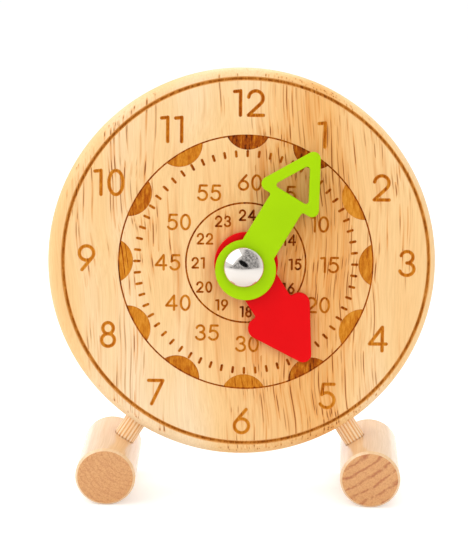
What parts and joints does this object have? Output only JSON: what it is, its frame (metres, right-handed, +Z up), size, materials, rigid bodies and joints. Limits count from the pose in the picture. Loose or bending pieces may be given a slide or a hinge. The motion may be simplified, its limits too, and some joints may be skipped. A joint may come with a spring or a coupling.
{
  "type": "geared teaching clock",
  "caption": "Round wooden teaching clock leaning back on two dowel feet, with a green minute hand and a red hour hand geared together behind the face.",
  "frame": {"origin": "on the table, at the middle of the box around the clock", "axes": "+X to the right as seen from the front, +Y to the back, +Z up"},
  "size_m": [0.14, 0.0486, 0.154],
  "materials": {
    "face_wood": "satin clear-coated rubberwood",
    "cover_wood": "matte plywood",
    "foot_wood": "satin clear-coated rubberwood",
    "dowel_wood": "plain beech",
    "green_plastic": "matte",
    "red_plastic": "matte",
    "dome_chrome": "polished",
    "steel": "zinc plated",
    "brass": "turned",
    "washer_nylon": "natural",
    "gear_nylon": "natural"
  },
  "bodies": {
    "root": {"clock_face": "face_wood", "back_cover": "cover_wood", "left_foot": "foot_wood", "right_foot": "foot_wood", "left_leg_dowel": "dowel_wood", "right_leg_dowel": "dowel_wood", "dome_nut": "dome_chrome", "centre_bolt": "steel", "bridge_plate": "steel", "bridge_screws": "steel", "cover_screws": "steel", "intermediate_stud": "steel", "spring_washer": "steel", "face_bush": "brass", "face_washer": "washer_nylon", "dome_washer": "washer_nylon", "stud_washers": "washer_nylon"},
    "minute": {"minute_hand": "green_plastic", "minute_sleeve": "brass", "minute_pinion": "gear_nylon", "hand_spacer": "washer_nylon"},
    "hour": {"hour_hand": "red_plastic", "hour_pipe": "brass", "hour_gear": "gear_nylon"},
    "intermediate": {"intermediate_wheel": "gear_nylon", "intermediate_pinion": "gear_nylon"}
  },
  "joints": [
    {"name": "minute_spin", "type": "hinge", "parent": "root", "child": "minute", "pos_m": [0.0008, -0.00394, 0.08484], "axis": [0, 0.9877, -0.1564], "continuous": true},
    {"name": "hour_spin", "type": "hinge", "parent": "root", "child": "hour", "pos_m": [0.0008, -0.00394, 0.08484], "axis": [0, 0.9877, -0.1564], "continuous": true},
    {"name": "intermediate_spin", "type": "hinge", "parent": "root", "child": "intermediate", "pos_m": [0.0008, -0.00042, 0.10706], "axis": [0, 0.9877, -0.1564], "continuous": true}
  ],
  "couplings": [
    {"joint": "hour_spin", "follows": "minute_spin", "ratio": 0.083333},
    {"joint": "intermediate_spin", "follows": "minute_spin", "ratio": -0.33333}
  ]
}
